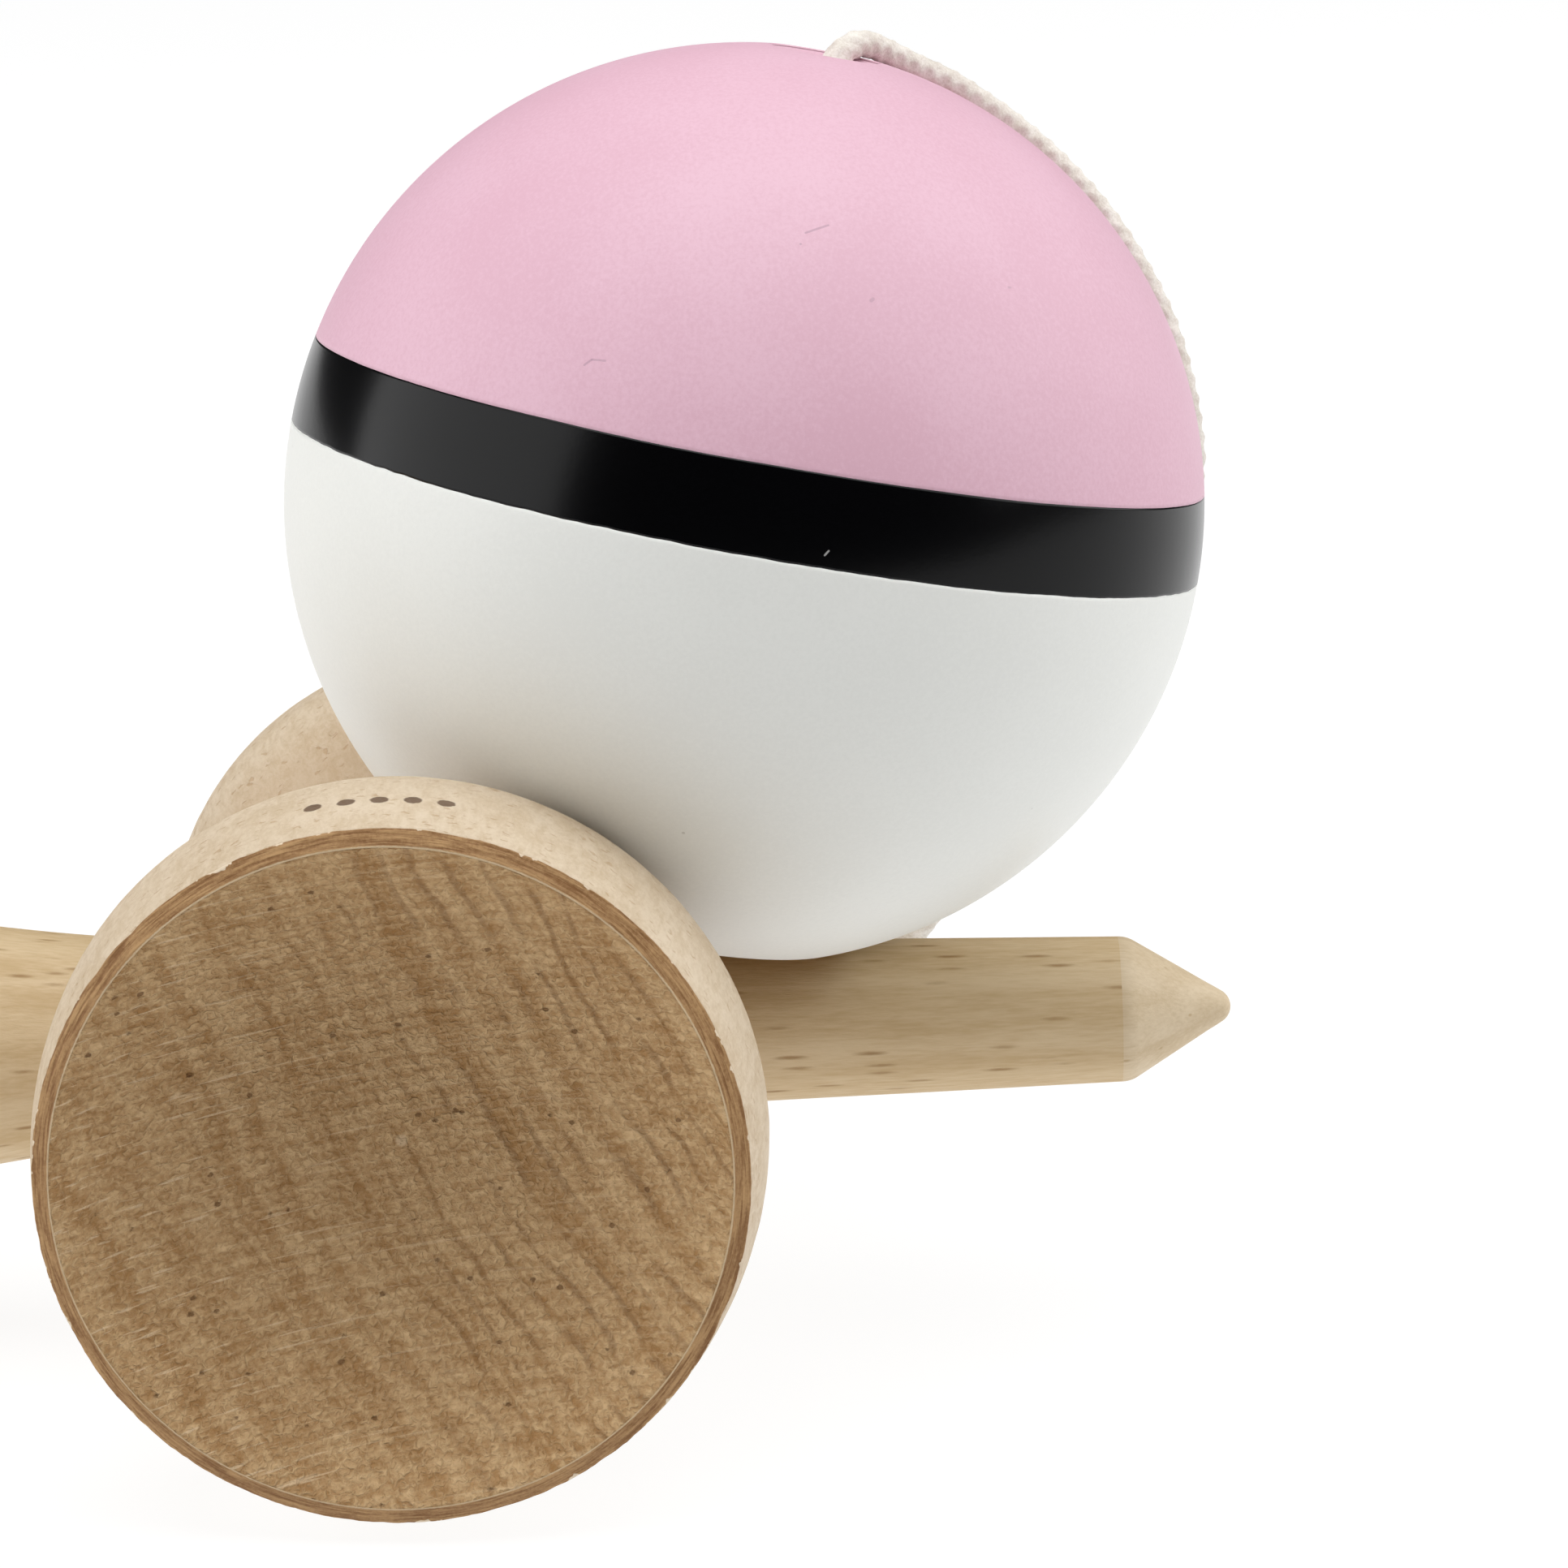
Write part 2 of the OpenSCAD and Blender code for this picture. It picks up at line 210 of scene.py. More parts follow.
def lathe(name, outline, sides, placement, materials, shift=None, closed=False):
    """A turned piece. outline holds (radius, station, tag), the tag being the index of the material
    of the band that ends there. shift(radius, station, angle, tag) moves a point by (out, along)."""
    rings = []
    points = []
    for radius, station, tag in outline:
        if radius < 1e-6:
            rings.append([len(points)])
            points.append((0.0, 0.0, station))
            continue
        rings.append(list(range(len(points), len(points) + sides)))
        for k in range(sides):
            a = 2 * math.pi * k / sides
            out, along = shift(radius, station, a, tag) if shift else (0.0, 0.0)
            points.append(((radius + out) * math.cos(a), (radius + out) * math.sin(a), station + along))
    faces = []
    tags = []
    pairs = list(zip(rings, rings[1:], [o[2] for o in outline[1:]]))
    if closed:
        pairs.append((rings[-1], rings[0], outline[0][2]))
    for low, high, tag in pairs:
        for k in range(sides):
            n = (k + 1) % sides
            if len(low) == 1:
                faces.append((low[0], high[n], high[k]))
            elif len(high) == 1:
                faces.append((low[k], low[n], high[0]))
            else:
                faces.append((low[k], low[n], high[n], high[k]))
            tags.append(tag)
    piece = add_mesh(name, points, faces, placement, materials, tags)
    return outward(piece)


def outward(piece):
    """Turns the faces so that they look out of the closed solid."""
    work = bmesh.new()
    work.from_mesh(piece.data)
    bmesh.ops.recalc_face_normals(work, faces=work.faces)
    work.to_mesh(piece.data)
    work.free()
    return piece


def cylinder(radius, top_radius, low, high, placement, sides=48):
    """A throwaway cutter: a closed cone or cylinder along its local Z, in millimetres."""
    outline = [(0, low, 0), (radius, low, 0), (top_radius, high, 0), (0, high, 0)]
    return lathe("cutter", outline, sides, placement, [])


def cut(piece, *cutters):
    """Takes the cutters out of the piece and applies the result to its mesh."""
    for cutter in cutters:
        modifier = piece.modifiers.new("cut", "BOOLEAN")
        modifier.operation = "DIFFERENCE"
        modifier.solver = "EXACT"
        modifier.object = cutter
    graph = bpy.context.evaluated_depsgraph_get()
    graph.update()
    mesh = bpy.data.meshes.new_from_object(piece.evaluated_get(graph))
    old = piece.data
    piece.modifiers.clear()
    piece.data = mesh
    mesh.name = piece.name
    bpy.data.meshes.remove(old)
    for cutter in cutters:
        bpy.data.objects.remove(cutter)
    return piece


# ---- Material building ----


def srgb(red, green, blue):
    """A linear colour from 8-bit sRGB values."""
    out = []
    for value in (red, green, blue):
        c = value / 255
        out.append(c / 12.92 if c <= 0.04045 else ((c + 0.055) / 1.055) ** 2.4)
    return (*out, 1.0)


# A Mix node's colour sockets, which share their names with its other sockets.
MIX_FIRST, MIX_SECOND, MIX_RESULT = 6, 7, 2


class Tree:
    """One material's node tree, with a short call for each kind of node it uses."""

    def __init__(self, name, roughness=0.6, specular=0.35):
        self.material = bpy.data.materials.new(name)
        self.material.use_nodes = True
        self.nodes = self.material.node_tree.nodes
        self.links = self.material.node_tree.links
        self.shader = self.nodes["Principled BSDF"]
        self.shader.inputs["Roughness"].default_value = roughness
        self.shader.inputs["Specular IOR Level"].default_value = specular
        place_node = self.nodes.new("ShaderNodeTexCoord")
        self.local = self.scaled(place_node.outputs["Object"], 1 / MM)
        self.normal = place_node.outputs["Normal"]

    def put(self, socket, value):
        """Links a socket to a socket, or sets its value."""
        if isinstance(value, bpy.types.NodeSocket):
            self.links.new(value, socket)
        else:
            socket.default_value = value

    def math(self, operation, first, second=0.0, third=0.0):
        node = self.nodes.new("ShaderNodeMath")
        node.operation = operation
        for socket, value in zip(node.inputs, (first, second, third)):
            self.put(socket, value)
        return node.outputs[0]

    def plus(self, first, second):
        return self.math("ADD", first, second)

    def minus(self, first, second):
        return self.math("SUBTRACT", first, second)

    def times(self, first, second):
        return self.math("MULTIPLY", first, second)

    def total(self, *terms):
        """The sum of (value, weight) pairs."""
        parts = [self.times(value, weight) for value, weight in terms]
        result = parts[0]
        for part in parts[1:]:
            result = self.plus(result, part)
        return result

    def vector(self, operation, first, second=(0, 0, 0)):
        node = self.nodes.new("ShaderNodeVectorMath")
        node.operation = operation
        self.put(node.inputs[0], first)
        self.put(node.inputs[1], second)
        return node.outputs["Value" if operation in ("LENGTH", "DOT_PRODUCT") else "Vector"]

    def scaled(self, vector, factor):
        node = self.nodes.new("ShaderNodeVectorMath")
        node.operation = "SCALE"
        self.put(node.inputs[0], vector)
        self.put(node.inputs["Scale"], factor)
        return node.outputs[0]

    def parts(self, vector):
        node = self.nodes.new("ShaderNodeSeparateXYZ")
        self.links.new(vector, node.inputs[0])
        return node.outputs

    def join(self, x, y, z):
        node = self.nodes.new("ShaderNodeCombineXYZ")
        for socket, value in zip(node.inputs, (x, y, z)):
            self.put(socket, value)
        return node.outputs[0]

    def turned(self, vector, turn=(0, 0, 0), scale=(1, 1, 1)):
        node = self.nodes.new("ShaderNodeMapping")
        self.links.new(vector, node.inputs["Vector"])
        node.inputs["Rotation"].default_value = [math.radians(t) for t in turn]
        node.inputs["Scale"].default_value = scale
        return node.outputs[0]

    def noise(self, vector, scale=1.0, detail=2.0, roughness=0.5, distortion=0.0):
        node = self.nodes.new("ShaderNodeTexNoise")
        self.links.new(vector, node.inputs["Vector"])
        node.inputs["Scale"].default_value = scale
        node.inputs["Detail"].default_value = detail
        node.inputs["Roughness"].default_value = roughness
        node.inputs["Distortion"].default_value = distortion
        return node.outputs["Fac"]

    def cells(self, vector, scale=1.0, randomness=1.0):
        """Distance to the nearest cell centre, and a random number for each cell."""
        node = self.nodes.new("ShaderNodeTexVoronoi")
        self.links.new(vector, node.inputs["Vector"])
        node.inputs["Scale"].default_value = scale
        node.inputs["Randomness"].default_value = randomness
        return node.outputs["Distance"], self.parts(node.outputs["Color"])[0]

    def fade(self, value, low, high, start=0.0, end=1.0):
        """Smooth change from start to end as value goes from low to high."""
        node = self.nodes.new("ShaderNodeMapRange")
        node.interpolation_type = "SMOOTHSTEP"
        self.put(node.inputs["Value"], value)
        node.inputs["From Min"].default_value = low
        node.inputs["From Max"].default_value = high
        node.inputs["To Min"].default_value = start
        node.inputs["To Max"].default_value = end
        return node.outputs["Result"]

    def mix(self, factor, first, second):
        node = self.nodes.new("ShaderNodeMix")
        node.data_type = "RGBA"
        self.put(node.inputs["Factor"], factor)
        self.put(node.inputs[MIX_FIRST], first)
        self.put(node.inputs[MIX_SECOND], second)
        return node.outputs[MIX_RESULT]

    def bump(self, height, strength, distance_mm, below=None):
        node = self.nodes.new("ShaderNodeBump")
        node.inputs["Strength"].default_value = strength
        node.inputs["Distance"].default_value = distance_mm * MM
        self.links.new(height, node.inputs["Height"])
        if below is not None:
            self.links.new(below, node.inputs["Normal"])
        return node.outputs["Normal"]

    def finish(self, colour, normal=None, roughness=None):
        self.put(self.shader.inputs["Base Color"], colour)
        if normal is not None:
            self.links.new(normal, self.shader.inputs["Normal"])
        if roughness is not None:
            self.links.new(roughness, self.shader.inputs["Roughness"])
        return self.material


def stroke(tree, start, end, width):
    """Mask of a short scratch between two points of the local frame, in millimetres."""
    a, b = Vector(start), Vector(end)
    away = tree.vector("SUBTRACT", tree.local, tuple(a))
    along = tree.vector("DOT_PRODUCT", away, tuple((b - a) / (b - a).length_squared))
    share = tree.math("MINIMUM", tree.math("MAXIMUM", along, 0.0), 1.0)
    gap = tree.vector("LENGTH", tree.vector("SUBTRACT", away, tree.scaled(tuple(b - a), share)))
    return tree.fade(gap, width * 0.5, width, 1.0, 0.0)


def side_grain(name, light, dark, fleck, fleck_share=0.5, fleck_size=(0.7, 4.0)):
    """Wood cut along the grain, which runs along local Z: soft streaks, fine fibres, short flecks."""
    tree = Tree(name, roughness=0.58, specular=0.3)
    wide = tree.noise(tree.turned(tree.local, scale=(0.5, 0.5, 0.035)), 1.0, 3.0, 0.55, 0.4)
    fine = tree.noise(tree.turned(tree.local, scale=(5.0, 5.0, 0.5)), 1.0, 3.0, 0.6)
    hair = tree.noise(tree.turned(tree.local, scale=(11.0, 11.0, 2.2)), 1.0, 2.0, 0.6)
    across, along = fleck_size
    warped = tree.turned(tree.local, scale=(1 / across, 1 / across, 1 / along))
    distance, pick = tree.cells(warped)
    ragged = tree.plus(distance, tree.times(hair, 0.10))
    spots = tree.fade(ragged, 0.10, 0.36, 1.0, 0.0)
    chosen = tree.math("GREATER_THAN", pick, 1 - fleck_share)
    flecks = tree.times(spots, chosen)
    tone = tree.total((wide, 0.6), (fine, 0.4))
    colour = tree.mix(tree.fade(tone, 0.34, 0.68), dark, light)
    colour = tree.mix(tree.times(flecks, 0.8), colour, fleck)
    height = tree.minus(tree.plus(fine, tree.times(hair, 0.6)), flecks)
    return tree.finish(colour, tree.bump(height, 0.35, 0.06), tree.fade(tone, 0.3, 0.7, 0.64, 0.5))


GROWTH_STEP = 1.9  # width of a year's growth, in millimetres
PITH = (70.0, -26.0, 0.0)  # middle of the tree's rings, in millimetres from the middle of the cup


def end_grain(name, light, dark, streak, speck):
    """Wood cut across the grain, seen along local Z: wide curved growth bands, thin rays across
    them, a fuzzy fibre texture, and a few dark pores."""
    tree = Tree(name, roughness=0.72, specular=0.2)
    turned = tree.turned(tree.local, turn=(0, 0, 8))
    x, y, z = tree.parts(turned)
    # growth bands: rings about a pith outside the cup, so they run steeply and bend a little
    pith = tree.vector("LENGTH", tree.vector("SUBTRACT", tree.join(x, y, 0.0), PITH))
    waver = tree.times(tree.noise(turned, 0.11, 2.0), 3.5)
    ring_place = tree.plus(pith, waver)
    bands = tree.noise(tree.join(ring_place, 0.0, 0.0), 0.42, 3.0, 0.55)
    lines = tree.noise(tree.join(ring_place, 0.0, 0.0), 1.3, 2.0, 0.5)
    rays = tree.noise(tree.turned(turned, scale=(0.10, 2.0, 0.5)), 1.0, 3.0, 0.6, 0.15)
    fuzz = tree.noise(tree.turned(turned, scale=(2.3, 2.6, 1.5)), 1.0, 2.0, 0.55, 0.8)
    fine = tree.noise(tree.turned(turned, scale=(5.0, 6.0, 4.0)), 1.0, 3.0, 0.6)
    fibre = tree.fade(fuzz, 0.25, 0.75)
    tone = tree.total((bands, 0.38), (rays, 0.26), (lines, 0.20), (fibre, 0.13), (fine, 0.10))
    colour = tree.mix(tree.fade(tone, 0.375, 0.695), dark, light)
    # light rays that run all the way on one side, and thin dark growth lines on the other
    bright = tree.noise(tree.turned(turned, scale=(0.07, 3.6, 0.5)), 1.0, 2.0, 0.6)
    glints = tree.times(tree.fade(bright, 0.60, 0.70), tree.fade(x, -16.0, 6.0, 0.75, 0.2))
    colour = tree.mix(glints, colour, streak)
    swing = tree.math("SINE", tree.times(ring_place, 2 * math.pi / GROWTH_STEP))
    patchy = tree.fade(tree.noise(turned, 0.22, 2.0), 0.40, 0.60)
    late = tree.times(tree.fade(swing, 0.55, 1.0), patchy)
    late = tree.times(late, tree.fade(x, -6.0, 8.0, 0.06, 0.36))
    colour = tree.mix(late, colour, speck)
    # pores: few, uneven in size, crowded in places
    crowd = tree.fade(tree.noise(turned, 0.18, 1.0), 0.46, 0.62, 0.97, 0.55)
    distance, pick = tree.cells(tree.turned(turned, scale=(0.8, 1.1, 0.6)), 0.9)
    uneven = tree.plus(distance, tree.times(fine, 0.22))
    pores = tree.times(tree.fade(uneven, 0.20, 0.29, 1.0, 0.0), tree.math("GREATER_THAN", pick, crowd))
    colour = tree.mix(tree.times(pores, 0.7), colour, speck)
    middle = tree.vector("LENGTH", tree.join(x, y, 0.0))
    colour = tree.mix(tree.fade(middle, 0.25, 0.5, 0.6, 0.0), colour, streak)
    height = tree.plus(fibre, tree.times(fine, 0.7))
    height = tree.minus(height, tree.times(pores, 0.8))
    turning = tree.noise(tree.join(middle, z, 0.0), 1.8, 2.0)
    normal = tree.bump(turning, 0.12, 0.08)
    return tree.finish(colour, tree.bump(height, 0.9, 0.2, normal))


def torn_ring_with_lip_highlight(name, light, dark, highlight_lips, rims, wall):
    """A cup's bevelled rim: torn fibres that run round the cup, a painted highlight as a pale line along
    each lip, and the wall's colour showing through where the outer edge is torn."""
    tree = Tree(name, roughness=0.6, specular=0.28)
    x, y = tree.parts(tree.local)[:2]
    radius = tree.vector("LENGTH", tree.join(x, y, 0.0))
    ax, ay = tree.parts(tree.vector("NORMALIZE", tree.join(x, y, 0.0)))[:2]

    def fibres(along, across, detail):
        turned = tree.times(ax, along), tree.times(ay, along)
        place_at = tree.join(*turned, tree.times(radius, across))
        return tree.noise(place_at, 1.0, detail, 0.62, 0.25)

    strands, patches = fibres(9.0, 6.5, 4.0), fibres(5.0, 1.2, 2.0)
    grit = tree.noise(tree.local, 4.5, 3.0, 0.65)
    tone = tree.total((strands, 0.6), (patches, 0.2), (grit, 0.2))
    colour = tree.mix(tree.fade(tone, 0.36, 0.64), dark, light)
    # painted highlight: a pale line along each lip, where the edge catches the light
    for lip in highlight_lips:
        off = tree.math("ABSOLUTE", tree.minus(radius, lip))
        ragged = tree.plus(off, tree.times(tree.minus(grit, 0.5), 0.12))
        colour = tree.mix(tree.fade(ragged, 0.05, 0.14, 0.85, 0.0), colour, srgb(222, 198, 162))
    torn = fibres(13.0, 0.3, 3.0)
    for rim in rims:
        inwards = tree.minus(rim, radius)
        edge = tree.minus(tree.times(tree.minus(torn, 0.55), 1.8), inwards)
        near = tree.fade(tree.math("ABSOLUTE", inwards), 0.5, 0.6, 1.0, 0.0)
        colour = tree.mix(tree.times(tree.fade(edge, 0.0, 0.06), near), colour, wall)
    return tree.finish(colour, tree.bump(tone, 0.9, 0.2))


def cup_wall(name, light, dark, dash, burnt):
    """The pale outside of the cross-piece: fuzzy turned wood with small dark dashes, steep slopes darker
    partly as end grain and partly as painted shade, and a row of small burnt dots on top of the large
    cup."""
    tree = Tree(name, roughness=0.62, specular=0.28)
    x, y, z = tree.parts(tree.local)
    ax, ay = tree.parts(tree.vector("NORMALIZE", tree.join(x, y, 0.0)))[:2]
    grain = tree.noise(tree.turned(tree.local, scale=(1.3, 1.3, 0.5)), 1.0, 4.0, 0.62, 0.5)
    fuzz = tree.noise(tree.turned(tree.local, scale=(3.6, 3.6, 2.2)), 1.0, 3.0, 0.65, 0.4)
    wide = tree.noise(tree.local, 0.16, 2.0)
    tone = tree.total((grain, 0.45), (fuzz, 0.3), (wide, 0.25))
    colour = tree.mix(tree.fade(tone, 0.36, 0.64), dark, light)
    bowed = tree.plus(z, tree.times(tree.noise(tree.local, 0.9, 1.0), 1.6))
    distance, pick = tree.cells(tree.join(x, y, tree.times(bowed, 2.6)), 0.85)
    bent = tree.plus(distance, tree.times(fuzz, 0.3))
    dashes = tree.times(tree.fade(bent, 0.30, 0.46, 1.0, 0.0), tree.math("GREATER_THAN", pick, 0.45))
    colour = tree.mix(tree.times(dashes, 0.5), colour, dash)
    # steep slopes darker: partly the wood's end grain, partly painted shade
    steep = tree.math("ABSOLUTE", tree.parts(tree.normal)[2])
    end_grain_and_painted_shade = tree.fade(steep, 0.35, 0.95)
    colour = tree.mix(tree.times(end_grain_and_painted_shade, 0.75), colour, srgb(186, 152, 114))
    colour = burnt_dots(tree, colour, burnt, ax, ay, z)
    height = tree.minus(tree.plus(grain, tree.times(fuzz, 0.7)), tree.times(dashes, 0.5))
    return tree.finish(colour, tree.bump(height, 0.55, 0.16))


DOT_COUNT, DOT_STEP, DOT_SIZE, DOT_STATION = 5, math.radians(5.2), 0.62, -31.6


def burnt_dots(tree, colour, burnt, ax, ay, z):
    """A plain row of dots round the top of the large cup. Up is -Y in the cross-piece's own frame."""
    rough = tree.times(tree.noise(tree.local, 3.0, 2.0), 0.22)
    for i in range(DOT_COUNT):
        a = (i - (DOT_COUNT - 1) / 2) * DOT_STEP
        side = tree.times(tree.minus(ax, math.sin(a)), LARGE_R)
        top = tree.times(tree.minus(ay, -math.cos(a)), LARGE_R)
        gap = tree.vector("LENGTH", tree.join(side, top, tree.minus(z, DOT_STATION)))
        mask = tree.fade(tree.plus(gap, rough), DOT_SIZE, DOT_SIZE + 0.14, 0.85, 0.0)
        colour = tree.mix(mask, colour, burnt)
    return colour


def paint(name, base, soft, roughness, specular, drift_share, grain_strength, mark_colour, marks=()):
    """Sprayed paint: soft colour drift, a fine sandy texture, a little dust, and small marks, each
    with its start, end, width and strength."""
    tree = Tree(name, roughness=roughness, specular=specular)
    drift = tree.noise(tree.local, 0.10, 1.0)
    grain = tree.noise(tree.local, 3.6, 3.0, 0.7)
    mottle = tree.total((drift, 0.35), (grain, 0.65))
    colour = tree.mix(tree.fade(mottle, 0.36, 0.64, 0.0, drift_share), base, soft)
    distance, pick = tree.cells(tree.local, 0.24)
    dust = tree.times(tree.fade(distance, 0.018, 0.032, 1.0, 0.0), tree.math("GREATER_THAN", pick, 0.8))
    colour = tree.mix(tree.times(dust, 0.5), colour, mark_colour)
    dents = dust
    for start, end, width, strength in marks:
        mask = stroke(tree, start, end, width)
        dents = tree.math("MAXIMUM", dents, mask)
        colour = tree.mix(tree.times(mask, strength), colour, mark_colour)
    peel = tree.noise(tree.local, 1.6, 2.0)
    height = tree.total((peel, 0.5), (grain, 0.5))
    height = tree.minus(height, tree.times(dents, 0.5))
    return tree.finish(colour, tree.bump(height, grain_strength, 0.06))


def braid_cloth(name):
    """Pale cotton cord with fine fibres."""
    tree = Tree(name, roughness=0.85, specular=0.15)
    tree.shader.inputs["Sheen Weight"].default_value = 0.3
    fibre = tree.noise(tree.local, 6.0, 4.0, 0.7)
    patch = tree.noise(tree.local, 0.9, 2.0)
    tone = tree.total((fibre, 0.6), (patch, 0.4))
    colour = tree.mix(tree.fade(tone, 0.35, 0.65), srgb(214, 205, 193), srgb(240, 235, 227))
    return tree.finish(colour, tree.bump(fibre, 0.5, 0.08))


def tie_plastic(name):
    """A coated paper tie: dull pale plastic with faint cross creases."""
    tree = Tree(name, roughness=0.5, specular=0.4)
    crease = tree.noise(tree.local, 1.4, 3.0, 0.6)
    colour = tree.mix(tree.fade(crease, 0.35, 0.65), srgb(206, 206, 202), srgb(228, 228, 224))
    return tree.finish(colour, tree.bump(crease, 0.4, 0.15))


BEECH = side_grain(
    "beech", srgb(217, 194, 157), srgb(198, 171, 129), srgb(150, 114, 66), 0.5, (0.72, 5.2)
)
CONE_WOOD = side_grain(
    "spike_cone", srgb(222, 203, 173), srgb(206, 184, 150), srgb(184, 156, 116), 0.1, (0.5, 1.6)
)
BASE_HOLLOW = end_grain(
    "base_hollow", srgb(196, 164, 124), srgb(160, 126, 88), srgb(214, 186, 148), srgb(110, 76, 44)
)
BASE_RING = torn_ring_with_lip_highlight(
    "base_ring", srgb(186, 150, 106), srgb(142, 106, 66), (BASE_LIP_R,), (BASE_RIM_R,),
    srgb(210, 188, 154),
)
DISH = end_grain(
    "cup_hollow", srgb(216, 184, 140), srgb(162, 122, 76), srgb(226, 200, 164), srgb(108, 72, 40)
)
RING = torn_ring_with_lip_highlight(
    "cup_ring", srgb(186, 148, 102), srgb(128, 88, 50),
    (LARGE_LIP_R, SMALL_LIP_R), (LARGE_RIM_R, SMALL_RIM_R), srgb(228, 210, 184),
)
WALL = cup_wall(
    "cup_wall", srgb(216, 199, 175), srgb(198, 177, 148), srgb(176, 142, 104), srgb(84, 56, 34)
)
BALL_WOOD = side_grain("ball_wood", srgb(222, 198, 158), srgb(204, 174, 132), srgb(150, 112, 70))
BEAD_WOOD = side_grain(
    "bead_wood", srgb(236, 218, 184), srgb(220, 198, 158), srgb(190, 160, 116), 0.2, (0.5, 2.0)
)
CORD = braid_cloth("cord_braid")
TIE = tie_plastic("tie_plastic")

HANDLE_SIDES, CROSS_SIDES, BALL_SIDES, COAT_SIDES = 160, 448, 256, 384  # points round each mesh

# ---- Handle ----


def handle_outline():
    """From the tip of the spike to the middle of the base cup's hollow. Tags: 0 shaft, 1 cone,
    2 base ring, 3 base hollow."""
    normal = 90 - CONE_ANGLE
    slope = math.radians(normal)
    tip_x = SPIKE_END - TIP_ROUND
    drop = (SPIKE_SHOULDER_R - SHOULDER_ROUND) * math.sin(slope) + SHOULDER_ROUND - TIP_ROUND
    shoulder_x = tip_x - drop / math.cos(slope)
    tip = arc((0, tip_x), TIP_ROUND, 0, normal, 16, 1)
    shoulder = arc((SPIKE_SHOULDER_R - SHOULDER_ROUND, shoulder_x), SHOULDER_ROUND, normal, 90, 16, 1)
    outline = tip + straight(tip[-1], shoulder[0], 12, 1) + shoulder[1:]
    outline += straight(outline[-1], (SPIKE_ROOT_R, SPIKE_ROOT_X), 60, 0)
    outline += straight((SPIKE_ROOT_R, SPIKE_ROOT_X), (NECK_R, NECK_X), 12, 0)
    outline += eased((NECK_R, NECK_X), (GRIP_R, GRIP_X), 50, 0)
    outline += eased((GRIP_R, GRIP_X), (WAIST_R, WAIST_X), 50, 0)
    outline += eased((WAIST_R, WAIST_X), (BASE_R, BASE_WALL - BASE_END), 50, 0)
    outline += rounded_wall((BASE_R, BASE_WALL - BASE_END), (BASE_RIM_R, -BASE_END), 24, 0)
    outline += straight((BASE_RIM_R, -BASE_END), (BASE_LIP_R, -BASE_END), 4, 2)
    outline += hollow(BASE_LIP_R, BASE_DEPTH, -BASE_END, -1, 40, 3, False)[1:]
    return outline


def handle_shift(radius, station, angle, tag):
    """Hand sanding leaves the turned handle a hair uneven."""
    if radius < 1.5:
        return 0.0, 0.0
    x, y = radius * math.cos(angle), radius * math.sin(angle)
    return 0.03 * wobble(1, 7.0, x, y, station * 0.5) - 0.02, 0.0


def make_handle():
    woods = [BEECH, CONE_WOOD, BASE_RING, BASE_HOLLOW]
    ken = lathe("ken_wood", handle_outline(), HANDLE_SIDES, ALONG_HANDLE, woods, handle_shift)
    hole = cylinder(HOLE_R, HOLE_R, -15, 15, LYING)
    pocket = cylinder(KNOT_POCKET_R, KNOT_POCKET_R, KNOT_POCKET_Z, 12, LYING)
    cut(ken, hole, pocket)
    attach(ken, "ken")
    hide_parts("ken")


# ---- Cross-piece ----


def cross_outline():
    """From the middle of the large cup's hollow to that of the small one. Tags: 0 outside, 1 rings,
    2 hollows."""
    lip = CUP_FACE + LIP_HEIGHT
    outline = hollow(LARGE_LIP_R, LARGE_DEPTH, -lip, -1, 90, 2, True)
    outline += straight((LARGE_LIP_R, -lip), (LARGE_RIM_R, -CUP_FACE), 8, 1)
    wall = rounded_wall((LARGE_R, -LARGE_BELLY), (LARGE_RIM_R, -CUP_FACE), 30, 0)
    outline += wall[-2::-1] + [(LARGE_R, -LARGE_BELLY, 0)]
    outline += eased((LARGE_R, -LARGE_BELLY), (CROSS_WAIST_R, -LARGE_FLARE), 44, 0)
    outline += straight((CROSS_WAIST_R, -LARGE_FLARE), (CROSS_WAIST_R, SMALL_FLARE), 20, 0)
    outline += eased((CROSS_WAIST_R, SMALL_FLARE), (SMALL_R, SMALL_BELLY), 44, 0)
    outline += rounded_wall((SMALL_R, SMALL_BELLY), (SMALL_RIM_R, CUP_FACE), 30, 0)
    outline += straight((SMALL_RIM_R, CUP_FACE), (SMALL_LIP_R, lip), 8, 1)
    outline += hollow(SMALL_LIP_R, SMALL_DEPTH, lip, 1, 70, 2, False)[1:]
    return outline


def edge_share(radius, station):
    """1 on the sharp outer edge of a cup's ring, falling to 0 about half a millimetre away."""
    large = math.hypot(radius - LARGE_RIM_R, station + CUP_FACE)
    small = math.hypot(radius - SMALL_RIM_R, station - CUP_FACE)
    return max(0.0, 1 - min(large, small) / 0.5)


def cross_shift(radius, station, angle, tag):
    """Torn fibres along the rings' outer edges, a slightly uneven lip, and faint turning marks."""
    x, y = radius * math.cos(angle), radius * math.sin(angle)
    sweep = 24 * math.cos(angle), 24 * math.sin(angle)
    out = along = 0.0
    edge = edge_share(radius, station)
    if edge > 0:
        torn = wobble(2, 0.9, *sweep, 0) + 0.6 * wobble(3, 0.4, *sweep, 0)
        chip = max(0.0, wobble(4, 2.6, *sweep, 0) - 0.25)
        out -= edge * (0.03 + 0.04 * torn + 0.18 * chip)
        along += edge * math.copysign(0.05 * wobble(5, 0.7, *sweep, 0), station)
    if tag == 2 and radius > 2:
        along += 0.02 * wobble(6, 1.6, radius, 0.4 * angle, 0)
    if tag == 0:
        out += 0.02 * wobble(7, 1.2, x, y, station) - 0.02
    return out, along


